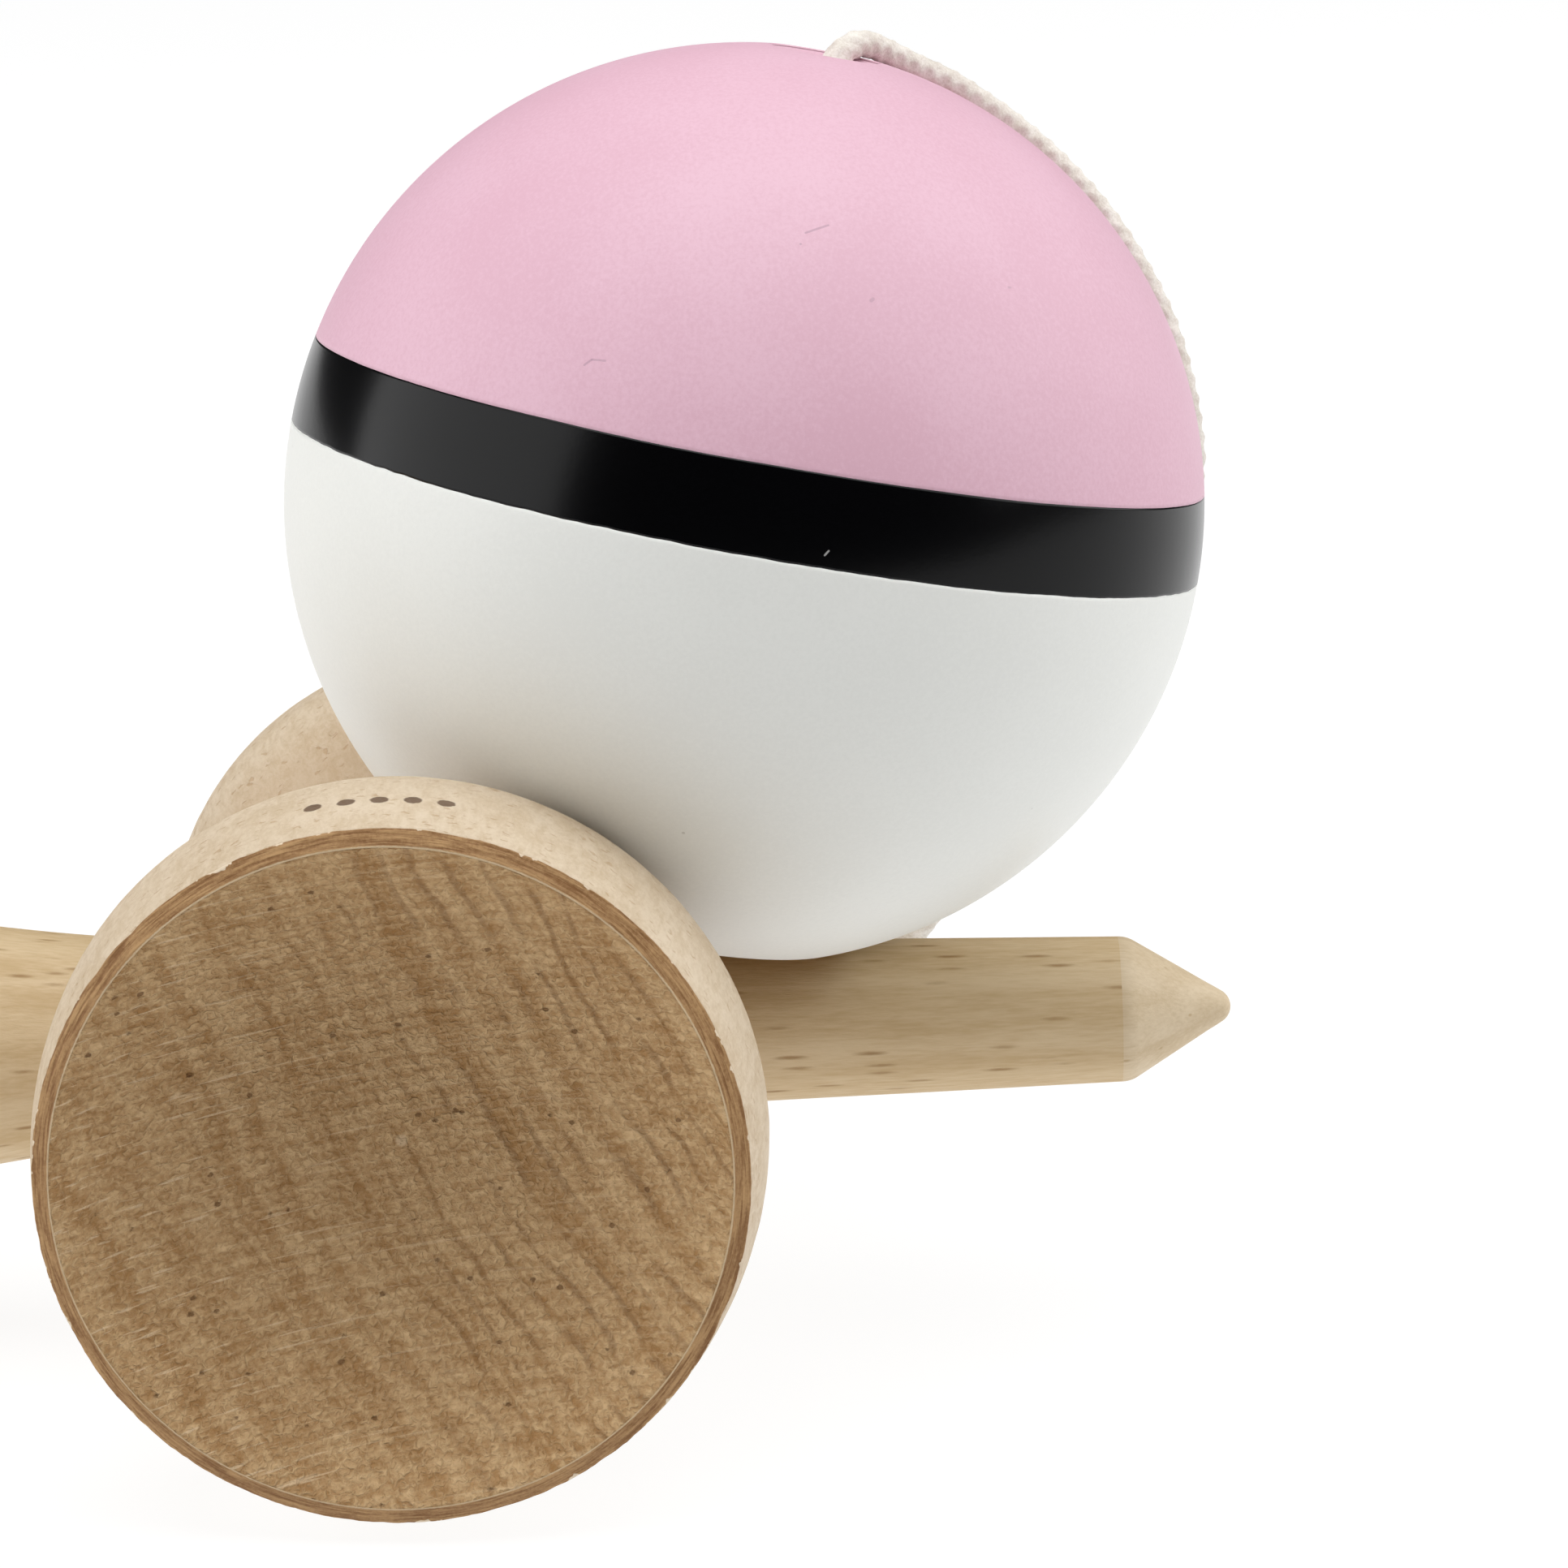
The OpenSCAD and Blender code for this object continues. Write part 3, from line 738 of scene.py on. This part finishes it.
def make_cross_piece():
    woods = [WALL, RING, DISH]
    sarado = lathe("sarado_wood", cross_outline(), CROSS_SIDES, ALONG_CROSS, woods, cross_shift)
    slope = (NECK_R - SPIKE_ROOT_R) / (SPIKE_ROOT_X - NECK_X)
    reach = 2 * CROSS_WAIST_R
    middle = (NECK_R + SPIKE_ROOT_R) / 2 + SHAFT_GAP
    shaft = cylinder(middle + slope * reach, middle - slope * reach, -reach, reach, ALONG_HANDLE, 128)
    hole = cylinder(HOLE_R, HOLE_R, -reach, 0, LYING)
    cut(sarado, shaft, hole)
    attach(sarado, "ken")
    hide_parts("sarado")


# ---- Ball ----

COUNTERSINK_LOW = BALL_R - COUNTERSINK_DEPTH / 2
MOUTH_LOW = math.sqrt(BALL_R**2 - MOUTH_R**2)
PAINT_INSIDE = BALL_R - PAINT + 0.01  # just off the wood, so that the two surfaces don't meet


def on_sphere(radius, latitude, tag=0):
    a = math.radians(latitude)
    return radius * math.cos(a), radius * math.sin(a), tag


def hole_latitude(radius):
    """Where the string hole's countersink meets a sphere of this radius, in degrees."""
    growth = COUNTERSINK / COUNTERSINK_DEPTH
    low, high = 60.0, 90.0
    for _ in range(40):
        middle = (low + high) / 2
        rho, height, _tag = on_sphere(radius, middle)
        inside = rho < HOLE_R + growth * (height - COUNTERSINK_LOW)
        low, high = (low, middle) if inside else (middle, high)
    return low


def mouth_latitude(radius):
    """Where the bore's bevel meets a sphere of this radius, in degrees."""
    growth = (MOUTH_R + (MOUTH_R - BORE_R) / 2 - BORE_R) / (1.5 * BEVEL)
    top = -MOUTH_LOW + BEVEL
    low, high = -90.0, -45.0
    for _ in range(40):
        middle = (low + high) / 2
        rho, height, _tag = on_sphere(radius, middle)
        inside = rho < BORE_R + growth * (top - height)
        low, high = (middle, high) if inside else (low, middle)
    return high


def band_top(radius):
    """The band's edges lie at the same latitude on every sphere."""
    return BAND_TOP


def band_bottom(radius):
    return BAND_BOTTOM


def shell_side(radius, start, end, steps):
    return [on_sphere(radius, start + (end - start) * i / steps) for i in range(steps + 1)]


def shell_outline(lower_edge, upper_edge, steps):
    """A thin closed shell of paint, outside first and then inside. An edge gives the latitude where
    it meets a sphere of a radius."""
    outer = shell_side(BALL_R, lower_edge(BALL_R), upper_edge(BALL_R), steps)
    return outer + shell_side(PAINT_INSIDE, upper_edge(PAINT_INSIDE), lower_edge(PAINT_INSIDE), steps)


def band_edge(latitude):
    """A shift that makes a painted edge at this latitude waver: crisp above, a little ragged below."""
    ragged = 0.012 if latitude > 5 else 0.055

    def drift(angle):
        x, y = 30 * math.cos(angle), 30 * math.sin(angle)
        return ragged * wobble(8, 1.1, x, y, 0) + 0.05 * wobble(9, 9.0, x, y, latitude)

    return drift


TOP_EDGE, BOTTOM_EDGE = band_edge(BAND_TOP), band_edge(BAND_BOTTOM)


def coat_shift(radius, station, angle, tag):
    """Moves the paint's edges along the sphere with band_edge, keeping the outer points on the ball."""
    out = along = 0.0
    for latitude, edge in ((BAND_TOP, TOP_EDGE), (BAND_BOTTOM, BOTTOM_EDGE)):
        gap = abs(station - BALL_R * math.sin(math.radians(latitude)))
        if gap < 0.8:
            along += edge(angle) * (1 - gap / 0.8)
    if math.hypot(radius, station) > BALL_R - 0.5 * PAINT and abs(along) > 0:
        out = math.sqrt(max(0.0, BALL_R**2 - (station + along) ** 2)) - radius
    return out, along


PINK = paint(
    "pink_paint", srgb(226, 186, 202), srgb(217, 172, 189), 0.5, 0.3, 0.7, 0.25,
    marks=[
        ((0.1, -22.5, 19.8), (1.4, -21.9, 20.5), 0.10, 0.55),
        ((-11.8, -25.8, 9.8), (-11.4, -25.8, 10.2), 0.09, 0.5),
        ((-11.4, -25.8, 10.2), (-10.6, -26.1, 10.3), 0.09, 0.45),
        ((4.7, -24.5, 16.6), (4.8, -24.4, 16.7), 0.16, 0.4),
        ((13.1, -19.6, 18.5), (13.2, -19.5, 18.5), 0.12, 0.35),
    ],
    mark_colour=srgb(172, 138, 156),
)
BLACK = paint(
    "black_paint", srgb(4, 4, 5), srgb(7, 7, 9), 0.2, 0.2, 0.5, 0.08,
    marks=[((4.5, -29.6, 1.4), (4.7, -29.6, 1.7), 0.08, 0.6)],
    mark_colour=srgb(200, 200, 198),
)
WHITE = paint(
    "white_paint", srgb(236, 237, 233), srgb(230, 231, 227), 0.42, 0.4, 0.6, 0.18,
    mark_colour=srgb(176, 174, 168),
)


def make_ball():
    inside = BALL_R - PAINT
    core = [(HOLE_R, BORE_END, 0)] + straight((HOLE_R, BORE_END), (HOLE_R, COUNTERSINK_LOW), 6, 0)
    top = on_sphere(inside, hole_latitude(inside))
    bottom_latitude = mouth_latitude(inside)
    core += straight(core[-1], top, 6, 1)
    steps = 150
    span = bottom_latitude - hole_latitude(inside)
    core += [on_sphere(inside, hole_latitude(inside) + span * (i + 1) / steps) for i in range(steps)]
    core += straight(core[-1], (BORE_R, -MOUTH_LOW + BEVEL), 10, 0)
    core += straight((BORE_R, -MOUTH_LOW + BEVEL), (BORE_R, BORE_END), 40, 0)
    core += straight((BORE_R, BORE_END), (HOLE_R, BORE_END), 8, 0)[:-1]
    wood = lathe("tama_wood", core, BALL_SIDES, ON_BALL, [BALL_WOOD, PINK], closed=True)
    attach(wood, "tama")
    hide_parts("tama")
    coats = [
        ("coat_pink", "coat_upper", PINK, "paint_pink", band_top, hole_latitude, 150),
        ("coat_black", "coat_stripe", BLACK, "paint_black", band_bottom, band_top, 40),
        ("coat_white", "coat_lower", WHITE, "paint_white", mouth_latitude, band_bottom, 140),
    ]
    for name, node, material, slot, lower_edge, upper_edge, steps in coats:
        outline = shell_outline(lower_edge, upper_edge, steps)
        coat = lathe(name, outline, COAT_SIDES, ON_BALL, [material], coat_shift, closed=True)
        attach(coat, "tama")
        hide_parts(node)


# ---- Cord ----

# The route's points, in millimetres from the floor point under the crossing.
DRAPE = [
    (23.2, 2.2, 68.8), (23.9, 2.6, 72.7), (24.5, 3.0, 76.3), (25.2, 3.3, 80.1), (25.7, 3.4, 83.3),
    (26.7, 4.4, 85.4), (27.8, 5.9, 86.4), (29.0, 7.5, 86.4), (30.5, 8.8, 85.6), (32.0, 9.8, 84.7),
    (34.5, 10.7, 83.4), (36.3, 11.1, 82.2), (38.5, 11.5, 80.6), (41.4, 11.6, 78.1),
    (44.3, 11.3, 75.0), (46.7, 10.8, 71.6), (48.7, 10.4, 67.8), (50.0, 10.0, 63.8),
    (50.7, 9.9, 60.0), (50.8, 10.0, 57.6),
]
FALL = [
    (50.3, 11.2, 53.2), (49.2, 13.6, 49.0), (47.2, 17.0, 44.4), (44.2, 20.8, 39.0),
    (40.6, 25.2, 32.2), (36.2, 30.2, 24.0), (31.4, 35.4, 15.8), (26.4, 40.4, 8.8),
    (21.6, 44.6, 4.0), (17.0, 47.8, 1.6), (12.8, 50.4, 1.0), (9.2, 53.6, 1.1), (7.0, 57.4, 1.35),
]
LEAD = [
    (-13.6, 58.0, 1.6), (-13.6, 55.2, 2.6), (-13.6, 52.2, 3.3), (-13.7, 49.2, 3.4),
    (-13.9, 46.4, 3.1), (-14.1, 43.0, 2.0), (-14.4, 38.6, 1.05), (-14.7, 31.0, 0.95),
    (-14.5, 25.0, 0.95), (-13.5, 18.6, 0.95), (-11.4, 12.6, 0.95), (-8.4, 7.4, 0.95),
    (-5.2, 3.4, 1.2), (-2.6, 0.9, 2.5), (-0.8, -0.3, 4.8), (0.2, -0.7, 7.6), (0.4, -0.6, 10.4),
    (0.3, -0.4, 14.0), (0.1, -0.2, 18.0), (0.0, 0.0, 21.4), (-0.1, 0.1, 23.3),
]
COIL_STEPS = 18  # points in each turn
ROUTE_STEPS = 12  # steps of the smooth route between two of its points
CORD_STEP, CORD_SIDES = 0.2, 24  # millimetres between two rings of the cord's mesh, and its sides


def coil_points():
    """The turns of the put-away coil, from its outside in, a cord's width and a little more apart."""
    points = []
    count = int(COIL_TURNS * COIL_STEPS)
    for i in range(1, count):
        share = i / count
        a = 2 * math.pi * COIL_TURNS * share
        r = COIL_OUTER + (COIL_INNER - COIL_OUTER) * share
        points.append((COIL_CENTRE[0] + r * math.cos(a), COIL_CENTRE[1] + r * math.sin(a), COIL_Z))
    return points


def through(points, steps):
    """The smooth curve through the points, with this many steps between two of them."""
    p = [np.array(q, float) for q in points]
    p = [2 * p[0] - p[1]] + p + [2 * p[-1] - p[-2]]
    curve = []
    for a, b, c, d in zip(p, p[1:], p[2:], p[3:]):
        for i in range(steps):
            t = i / steps
            square, cube = 2 * a - 5 * b + 4 * c - d, 3 * b - a - 3 * c + d
            curve.append((2 * b + (c - a) * t + square * t**2 + cube * t**3) / 2)
    curve.append(p[-2])
    return np.array(curve)


def evenly(curve, spacing):
    """The curve with its points an even distance apart, about as far as spacing."""
    lengths = np.concatenate([[0], np.cumsum(np.linalg.norm(np.diff(curve, axis=0), axis=1))])
    count = max(2, round(lengths[-1] / spacing))
    at = np.linspace(0, lengths[-1], count + 1)
    return np.stack([np.interp(at, lengths, curve[:, k]) for k in range(3)], 1)


def frames(curve):
    """Heading and two side vectors at each point, carried along without twist."""
    heading = np.gradient(curve, axis=0)
    heading /= np.linalg.norm(heading, axis=1)[:, None]
    side = np.empty_like(heading)
    last = np.array([0.3, 1.0, 0.2])
    for i, h in enumerate(heading):
        last = last - (last @ h) * h
        last /= np.linalg.norm(last)
        side[i] = last
    return heading, side, np.cross(heading, side)


STRANDS, BRAID_PITCH, BRAID_RELIEF, BRAID_SWELL = 8, 5.2, 0.18, 0.04


def braid_radius(distance, angle):
    """Radius of a round braid: two sets of strands wind opposite ways and cross over and under."""
    turn = 2 * np.pi * distance / BRAID_PITCH
    half = STRANDS / 2
    one = np.cos(half * (angle - turn))
    two = np.cos(half * (angle + turn))
    over = 0.5 + 0.5 * np.sin(half * turn) * np.cos(half * angle)
    crown = over * one + (1 - over) * two
    return CORD_D / 2 + BRAID_SWELL - BRAID_RELIEF * (0.5 - 0.5 * crown)


def tube(name, curve, radius_of, sides, materials):
    """A closed tube along a curve in millimetres, with radius_of(distance, angle) as its radius."""
    heading, side, other = frames(curve)
    distance = np.concatenate([[0], np.cumsum(np.linalg.norm(np.diff(curve, axis=0), axis=1))])
    angle = 2 * np.pi * np.arange(sides) / sides
    radius = radius_of(distance[:, None], angle[None, :])
    cosine, sine = np.cos(angle)[None, :, None], np.sin(angle)[None, :, None]
    ring = cosine * side[:, None, :] + sine * other[:, None, :]
    points = (curve[:, None, :] + radius[:, :, None] * ring).reshape(-1, 3)
    count = len(curve)
    faces = []
    for i in range(count - 1):
        for k in range(sides):
            n = (k + 1) % sides
            faces.append((i * sides + k, i * sides + n, (i + 1) * sides + n, (i + 1) * sides + k))
    faces.append(tuple(range(sides))[::-1])
    faces.append(tuple((count - 1) * sides + k for k in range(sides)))
    return outward(add_mesh(name, points, faces, None, materials))


def make_cord():
    route = through(DRAPE + FALL + coil_points() + LEAD, ROUTE_STEPS) + np.array(CROSSING)
    curve = evenly(route, CORD_STEP)
    string = tube("string_braid", curve, braid_radius, CORD_SIDES, [CORD])
    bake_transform(string)
    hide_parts("string_drape", "string_fall", "string_coil", "string_lead")
    return string, curve


string, cord_curve = make_cord()


def knot_points(size, centre, placement, count=90):
    """A small closed trefoil, the shape that a tight overhand knot pulls into."""
    points = []
    for i in range(count):
        t = 2 * math.pi * i / count
        x, y = math.sin(t) + 2 * math.sin(2 * t), math.cos(t) - 2 * math.cos(2 * t)
        p = Vector((x, y, -math.sin(3 * t)))
        point = (p * size / 3 + Vector(centre)) * MM
        points.append(tuple((placement @ point) / MM))
    return np.array(points + points[:2])


KNOT_SIZE, KNOT_CORD_R, KNOT_RELIEF = 1.15, 0.78, 0.05


def knot_radius(distance, angle):
    return KNOT_CORD_R - KNOT_RELIEF * (1 - np.cos(5 * angle + 6 * distance))


def make_knot(name, node, body, centre, placement):
    """A tight knot of the cord in the space that its plain solid holds."""
    knot = tube(name, knot_points(KNOT_SIZE, centre, placement), knot_radius, 16, [CORD])
    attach(knot, body)
    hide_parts(node)
    return knot


BEAD_Z = BORE_END - 0.4 - BEAD_LEN
BEAD_KNOT_Z = BEAD_Z - KNOT_R + 0.2


def make_bead():
    rounding, hole = 0.9, CORD_D / 2 + 0.1
    outline = [(hole, BEAD_Z + 0.2, 0)]
    outline += straight(outline[0], (hole, BEAD_Z + BEAD_LEN - 0.2), 10, 0)
    outline += arc((BEAD_R - rounding, BEAD_Z + BEAD_LEN - rounding), rounding, 0, 90, 10, 0)
    outline += arc((BEAD_R - rounding, BEAD_Z + rounding), rounding, 90, 180, 10, 0)
    bead = lathe("bead_wood", outline, 64, ON_BALL, [BEAD_WOOD], closed=True)
    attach(bead, "string_end")
    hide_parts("bead")
    return bead


TIE_BEND_STEPS = 16  # steps round each of the band's two bends
TWIST_TURNS, TWIST_LENGTH, TWIST_STEPS, TWIST_R = 2.5, 4.9, 40, 0.28
TWIST_REACH, TWIST_SPLAY = 0.35, 0.9  # how far each wire lies from the middle, and opens at its end


def twist_radius(distance, angle):
    return np.full(np.broadcast(distance, angle).shape, TWIST_R)


def make_tie():
    """A flat band folded round the coil's turns, its two ends twisted together outside."""
    middle = Vector((COIL_CENTRE[0], COIL_CENTRE[1], TIE_THICK + CORD_D / 2 + TIE_GAP / 2)) + CROSSING
    placement = place(middle, (math.radians(TIE_ANGLE), "Z")) @ Matrix.Translation((COIL_R * MM, 0, 0))
    wide = COIL_WIDTH + 2 * TIE_SLACK + TIE_THICK
    high = CORD_D + TIE_GAP + TIE_THICK
    corner = high / 2
    loop = []
    for way in (1, -1):
        centre_x = way * (wide / 2 - corner)
        for i in range(TIE_BEND_STEPS + 1):
            a = math.radians(180 * i / TIE_BEND_STEPS - way * 90)
            loop.append((centre_x + corner * math.cos(a), corner * math.sin(a)))
    count = len(loop)
    points, faces = [], []
    half, thick = TIE_WIDTH / 2, TIE_THICK / 2
    section = [(-half, -thick * 0.5), (-half + 0.2, -thick), (half - 0.2, -thick), (half, -thick * 0.5),
               (half, thick * 0.5), (half - 0.2, thick), (-half + 0.2, thick), (-half, thick * 0.5)]
    for i, (x, z) in enumerate(loop):
        before, after = loop[i - 1], loop[(i + 1) % count]
        run = Vector((after[0] - before[0], after[1] - before[1])).normalized()
        out = Vector((run[1], -run[0]))
        for along, lift in section:
            points.append((x + out[0] * lift, along, z + out[1] * lift))
    size = len(section)
    for i in range(count):
        for k in range(size):
            j, n = (i + 1) % count, (k + 1) % size
            faces.append((i * size + k, i * size + n, j * size + n, j * size + k))
    band = outward(add_mesh("tie_band", points, faces, placement, [TIE]))
    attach(band, "ken")
    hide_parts("string_tie")
    pieces = [band]
    for turn in (0, math.pi):
        twist = []
        for i in range(TWIST_STEPS + 1):
            t = i / TWIST_STEPS
            a = turn + 2 * math.pi * TWIST_TURNS * t
            reach = TWIST_REACH + TWIST_SPLAY * max(0.0, t - 0.8)
            x = wide / 2 + 0.15 + TWIST_LENGTH * t
            local = Vector((x, reach * math.cos(a), reach * math.sin(a) * 0.9)) * MM
            twist.append(tuple((placement @ local) / MM))
        end = tube(f"tie_end_{len(pieces)}", np.array(twist), twist_radius, 10, [TIE])
        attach(end, "ken")
        pieces.append(end)
    return pieces


bead = make_bead()
bead_knot = make_knot("bead_knot_tight", "bead_knot", "string_end", (0, 0, BEAD_KNOT_Z), ON_BALL)
ken_knot = make_knot("ken_knot_tight", "ken_knot", "ken", (0, 0, KNOT_POCKET_Z + KNOT_R), LYING)
tie_pieces = make_tie()

make_handle()
make_cross_piece()
make_ball()

# ---- Studio ----

FLOOR_FRONT, FLOOR_BACK, FLOOR_HALF = -0.42, 3.2, 2.2  # metres
FLOOR_GLOW, FLOOR_ALBEDO = 0.88, 0.16


def make_floor():
    """A glowing white floor, so that the toy hardly throws a shadow."""
    floor = add_mesh(
        "floor",
        [(-FLOOR_HALF / MM, FLOOR_FRONT / MM, 0), (FLOOR_HALF / MM, FLOOR_FRONT / MM, 0),
         (FLOOR_HALF / MM, FLOOR_BACK / MM, 0), (-FLOOR_HALF / MM, FLOOR_BACK / MM, 0)],
        [(0, 1, 2, 3)],
        smooth=False,
    )
    tree = Tree("floor_white", roughness=0.9, specular=0.1)
    tree.shader.inputs["Emission Color"].default_value = (1.0, 1.0, 1.0, 1.0)
    tree.shader.inputs["Emission Strength"].default_value = FLOOR_GLOW
    floor.data.materials.append(tree.finish((*[FLOOR_ALBEDO] * 3, 1.0)))


def area_light(name, at, aim, size, power):
    """A white soft box. Places and sizes in metres, power in watts."""
    data = bpy.data.lights.new(name, "AREA")
    data.shape = "RECTANGLE"
    data.size, data.size_y = size
    data.energy = power
    light = bpy.data.objects.new(name, data)
    bpy.context.scene.collection.objects.link(light)
    light.location = at
    light.rotation_euler = (Vector(aim) - Vector(at)).to_track_quat("-Z", "Y").to_euler()


DARK_ROOM, WHITE_ROOM = 0.08, 0.60  # strength of the surroundings, in front and all round
ROOM_EDGE = (-0.75, -0.35)  # where one turns into the other, as the Y of a direction


def make_world():
    """Even white surroundings, but for the dark room behind the camera."""
    world = bpy.data.worlds.new("studio")
    bpy.context.scene.world = world
    world.use_nodes = True
    nodes, links = world.node_tree.nodes, world.node_tree.links
    place_node = nodes.new("ShaderNodeTexCoord")
    split = nodes.new("ShaderNodeSeparateXYZ")
    fade = nodes.new("ShaderNodeMapRange")
    links.new(place_node.outputs["Generated"], split.inputs[0])
    links.new(split.outputs["Y"], fade.inputs["Value"])
    fade.interpolation_type = "SMOOTHSTEP"
    fade.inputs["From Min"].default_value, fade.inputs["From Max"].default_value = ROOM_EDGE
    fade.inputs["To Min"].default_value = DARK_ROOM
    fade.inputs["To Max"].default_value = WHITE_ROOM
    links.new(fade.outputs["Result"], nodes["Background"].inputs["Strength"])


def make_lights():
    area_light("left_box", (-0.9, -0.24, 0.45), (0.0, -0.16, 0.28), (1.36, 0.9), 7.2)
    area_light("right_box", (0.92, 0.10, 0.62), (0.08, 0.06, 0.10), (1.3, 0.9), 7.2)
    area_light("top_box", (0.05, -0.10, 0.95), (0.04, 0.02, 0.04), (1.1, 0.9), 9.2)
    bpy.context.scene.view_settings.view_transform = "Standard"


make_floor()
make_world()
make_lights()
